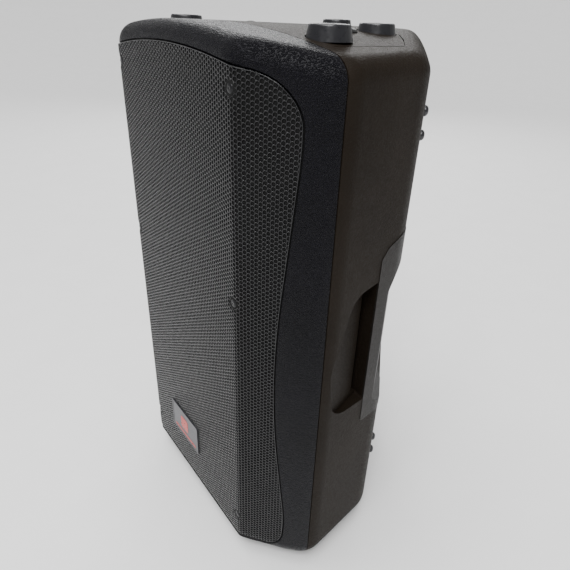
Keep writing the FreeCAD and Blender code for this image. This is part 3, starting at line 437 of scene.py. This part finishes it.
SLOTS = {
    "front_plastic": finish_with(
        "front_grain", (0.0020, 0.0019, 0.0032), (0.0033, 0.0031, 0.0052),
        rough=0.33, grain=660, strength=1.0, distance=0.0018, pebble=True, gloss=0.11,
    ),
    "rear_plastic": finish_with(
        "rear_grain", (0.0092, 0.0066, 0.0044), (0.0135, 0.0100, 0.0072),
        rough=0.5, grain=900, strength=0.7, distance=0.0004, pebble=True, gloss=0.06,
    ),
    "grip_plastic": finish_with(
        "grip_grain", (0.010, 0.0085, 0.0075), (0.015, 0.013, 0.0115),
        rough=0.44, grain=950, strength=0.6, distance=0.0004, pebble=True, gloss=0.12,
    ),
    "grille_paint": finish_with(
        "grille_coat", (0.0012, 0.0012, 0.0017), (0.0026, 0.0026, 0.0034),
        rough=0.17, grain=1500, strength=0.2, distance=0.0001, gloss=0.42,
    ),
    "foam": finish_with(
        "foam_black", (0.002, 0.002, 0.002), (0.004, 0.004, 0.004),
        rough=0.95, grain=900, strength=0.6, distance=0.0004,
    ),
    "badge_metal": brushed(
        "badge_plate_metal", (0.042, 0.041, 0.047), (0.07, 0.069, 0.076),
        rough=0.34, metal=0.7,
    ),
    "badge_colour": finish_with(
        "badge_enamel", (0.42, 0.02, 0.012), (0.5, 0.03, 0.02),
        rough=0.3, grain=300, strength=0.1, distance=0.0001,
    ),
    "foot_rubber": finish_with(
        "rubber_black", (0.007, 0.007, 0.009), (0.010, 0.010, 0.0125),
        rough=0.33, grain=700, strength=0.15, distance=0.00005, gloss=0.5,
    ),
    "plug_plastic": finish_with(
        "plug_black", (0.012, 0.012, 0.012), (0.02, 0.02, 0.02),
        rough=0.4, grain=600, strength=0.2, distance=0.0001,
    ),
    "frame_paint": finish_with(
        "frame_coat", (0.015, 0.015, 0.016), (0.025, 0.025, 0.026),
        rough=0.45, grain=700, strength=0.3, distance=0.0002, metal=0.3,
    ),
    "magnet_iron": finish_with(
        "ferrite", (0.05, 0.05, 0.055), (0.08, 0.08, 0.085),
        rough=0.7, grain=500, strength=0.4, distance=0.0003,
    ),
    "magnet_steel": brushed(
        "pole_steel", (0.40, 0.40, 0.41), (0.5, 0.5, 0.5),
        rough=0.35,
    ),
    "cone_paper": finish_with(
        "pulp", (0.015, 0.015, 0.015), (0.03, 0.03, 0.03),
        rough=0.85, grain=500, strength=0.5, distance=0.0003,
    ),
    "coil_aluminium": brushed(
        "coil_metal", (0.6, 0.6, 0.6), (0.7, 0.7, 0.7),
        rough=0.4,
    ),
    "surround_cloth": finish_with(
        "coated_cloth", (0.02, 0.02, 0.02), (0.03, 0.03, 0.03),
        rough=0.8, grain=900, strength=0.5, distance=0.0003,
    ),
    "spider_cloth": finish_with(
        "resin_cloth", (0.4, 0.26, 0.08), (0.5, 0.34, 0.12),
        rough=0.8, grain=800, strength=0.5, distance=0.0003,
    ),
    "horn_plastic": finish_with(
        "horn_black", (0.012, 0.012, 0.013), (0.02, 0.02, 0.02),
        rough=0.4, grain=400, strength=0.2, distance=0.0001,
    ),
    "diaphragm_metal": brushed(
        "diaphragm_foil", (0.65, 0.65, 0.66), (0.75, 0.75, 0.76),
        rough=0.3,
    ),
    "wadding_wool": finish_with(
        "wool", (0.5, 0.5, 0.48), (0.66, 0.66, 0.63),
        rough=0.95, grain=200, strength=0.8, distance=0.002,
    ),
    "panel_paint": finish_with(
        "panel_coat", (0.012, 0.012, 0.013), (0.02, 0.02, 0.022),
        rough=0.45, grain=900, strength=0.25, distance=0.0001, metal=0.2,
    ),
    "sink_aluminium": brushed(
        "anodised", (0.03, 0.03, 0.033), (0.05, 0.05, 0.055),
        rough=0.4, metal=0.8,
    ),
    "board_laminate": finish_with(
        "laminate", (0.012, 0.08, 0.03), (0.02, 0.12, 0.045),
        rough=0.4, grain=300, strength=0.2, distance=0.0001,
    ),
    "jack_plastic": finish_with(
        "socket_black", (0.010, 0.010, 0.010), (0.018, 0.018, 0.018),
        rough=0.42, grain=600, strength=0.2, distance=0.0001,
    ),
    "knob_plastic": finish_with(
        "knob_black", (0.014, 0.014, 0.014), (0.024, 0.024, 0.024),
        rough=0.45, grain=800, strength=0.25, distance=0.0001,
    ),
    "lamp_lens": finish_with(
        "lens_green", (0.03, 0.45, 0.08), (0.05, 0.55, 0.12),
        rough=0.18, grain=200, strength=0.05, distance=0.0001,
    ),
    "blade_brass": brushed(
        "nickel", (0.55, 0.52, 0.45), (0.65, 0.62, 0.55),
        rough=0.3,
    ),
    "screw_steel": brushed(
        "zinc", (0.42, 0.42, 0.44), (0.52, 0.52, 0.54),
        rough=0.35,
    ),
    "dark_screw": finish_with(
        "black_oxide", (0.012, 0.012, 0.013), (0.022, 0.022, 0.024),
        rough=0.32, grain=900, strength=0.2, distance=0.0001, metal=0.6,
    ),
}
slot_of = {part["node"]: part["material_slot"] for part in frame["record"]["subparts"]}
for node, shown in frame["nodes"].items():
    shown.data.materials.clear()
    shown.data.materials.append(SLOTS[slot_of[node]])
for shown in list(bpy.data.objects):
    if shown.name.startswith("grille_sheet_") or shown.name == "grille_edge":
        shown.data.materials.append(SLOTS["grille_paint"])
    if shown.name.startswith("grille_screw_"):
        shown.data.materials.append(SLOTS["dark_screw"])


# ---- floor, light, camera -----------------------------------------------------------------------
def stage_floor():
    """A pale floor that curves gently up at its far edges."""
    points, faces = [], []
    rings, spokes = 18, 96
    reach, flat_reach, curl = 9000.0, 5000.0, 16000.0
    for ring in range(rings + 1):
        radius = reach * (ring / rings) ** 1.6 + 1.0
        lift = max(0.0, radius - flat_reach) ** 2 / curl
        for k in range(spokes):
            a = 2 * math.pi * k / spokes
            points.append((radius * math.cos(a) * MM, radius * math.sin(a) * MM, (lift - 0.3) * MM))
    for ring in range(rings):
        for k in range(spokes):
            a, b = ring * spokes + k, ring * spokes + (k + 1) % spokes
            faces.append((a, b, b + spokes, a + spokes))
    faces.append(list(range(spokes))[::-1])
    mesh = bpy.data.meshes.new("studio_floor")
    mesh.from_pydata(points, [], faces)
    made = bpy.data.objects.new("studio_floor", mesh)
    bpy.context.scene.collection.objects.link(made)
    mesh.materials.append(finish_with(
        "floor_pale", (0.86, 0.86, 0.86), (0.88, 0.88, 0.88),
        rough=0.9, grain=30, strength=0.05, distance=0.0005,
    ))


stage_floor()


def area_light(name, place, target, size, power):
    """A soft rectangular light; places and sizes in metres, power in watts."""
    data = bpy.data.lights.new(name, "AREA")
    data.shape = "RECTANGLE"
    data.size, data.size_y = size
    data.energy = power
    made = bpy.data.objects.new(name, data)
    made.location = place
    made.rotation_euler = (Vector(target) - Vector(place)).to_track_quat("-Z", "Y").to_euler()
    bpy.context.scene.collection.objects.link(made)


area_light("window", place=(-2.5, 1.9, 2.1), target=(0, 0, 0.7), size=(2.4, 1.3), power=48)
area_light("key", place=(0.5, -1.5, 2.3), target=(0, 0, 0.6), size=(0.5, 0.5), power=12)
area_light("shoulder_key", place=(1.25, -1.1, 2.5), target=(0.1, -0.1, 0.7), size=(0.9, 0.9), power=60)

sun_data = bpy.data.lights.new("sky_panel", "SUN")
sun_data.energy = 2.6
sun_data.angle = math.radians(50)
sun = bpy.data.objects.new("sky_panel", sun_data)
sun.rotation_euler = (math.radians(8), math.radians(-10), 0)
bpy.context.scene.collection.objects.link(sun)

world = bpy.data.worlds.new("studio")
world.use_nodes = True
sky = next(n for n in world.node_tree.nodes if n.type == "BACKGROUND")
sky.inputs["Color"].default_value = (1, 1, 1, 1)
sky.inputs["Strength"].default_value = 0.45
bpy.context.scene.world = world

# the camera: its turn, tilt and roll in radians, its lens, and its place in millimetres
YAW, PITCH_DOWN, ROLL = 0.9166, 0.503, 0.0379
LENS, SENSOR = 31.64, 36.0
CAMERA_AT = (557.52, FRONT - 249.66, 739.03)
ahead = Vector((-math.sin(YAW), math.cos(YAW), 0))
right = Vector((math.cos(YAW), math.sin(YAW), 0))
up = Vector((0, 0, 1))
forward = ahead * math.cos(PITCH_DOWN) - up * math.sin(PITCH_DOWN)
over = up * math.cos(PITCH_DOWN) + ahead * math.sin(PITCH_DOWN)
camera_right = right * math.cos(ROLL) + over * math.sin(ROLL)
camera_up = over * math.cos(ROLL) - right * math.sin(ROLL)
lens = bpy.data.cameras.new("camera")
lens.lens = LENS
lens.sensor_width = SENSOR
lens.clip_start = 0.02
lens.clip_end = 40.0
camera = bpy.data.objects.new("camera", lens)
place = Vector(CAMERA_AT) * MM
camera.matrix_world = Matrix((
    (camera_right.x, camera_up.x, -forward.x, place.x),
    (camera_right.y, camera_up.y, -forward.y, place.y),
    (camera_right.z, camera_up.z, -forward.z, place.z),
    (0, 0, 0, 1),
))
bpy.context.scene.collection.objects.link(camera)
bpy.context.scene.camera = camera
